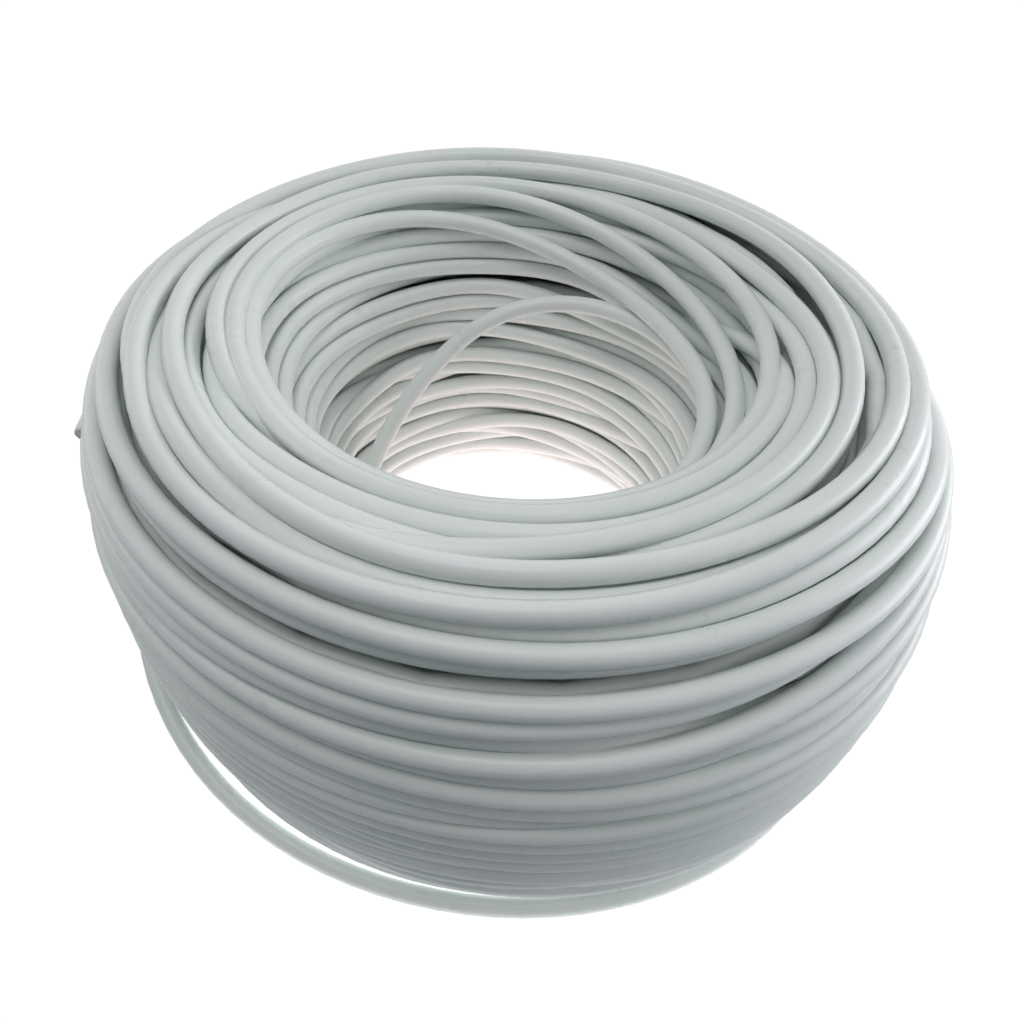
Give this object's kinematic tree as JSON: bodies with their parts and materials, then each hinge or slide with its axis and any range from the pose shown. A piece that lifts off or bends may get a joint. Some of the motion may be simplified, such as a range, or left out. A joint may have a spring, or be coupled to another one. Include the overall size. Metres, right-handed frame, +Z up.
{
  "type": "alarm cable coil",
  "caption": "Hand-wound coil of white sheathed alarm cable lying flat, slightly oval, with an open centre, a slack lower turn and a loose strand across the hole.",
  "frame": {"origin": "middle of the coil's hole, on the surface that the coil lies on", "axes": "+Z up along the coil's axis, -Y towards the viewer of the picture, +X to their right"},
  "size_m": [0.1932, 0.1746, 0.0964],
  "materials": {
    "sheath": "satin white PVC"
  },
  "bodies": {
    "root": {"coil": "sheath", "slack_turn": "sheath", "inner_strand": "sheath", "outer_end": "sheath"}
  },
  "joints": []
}
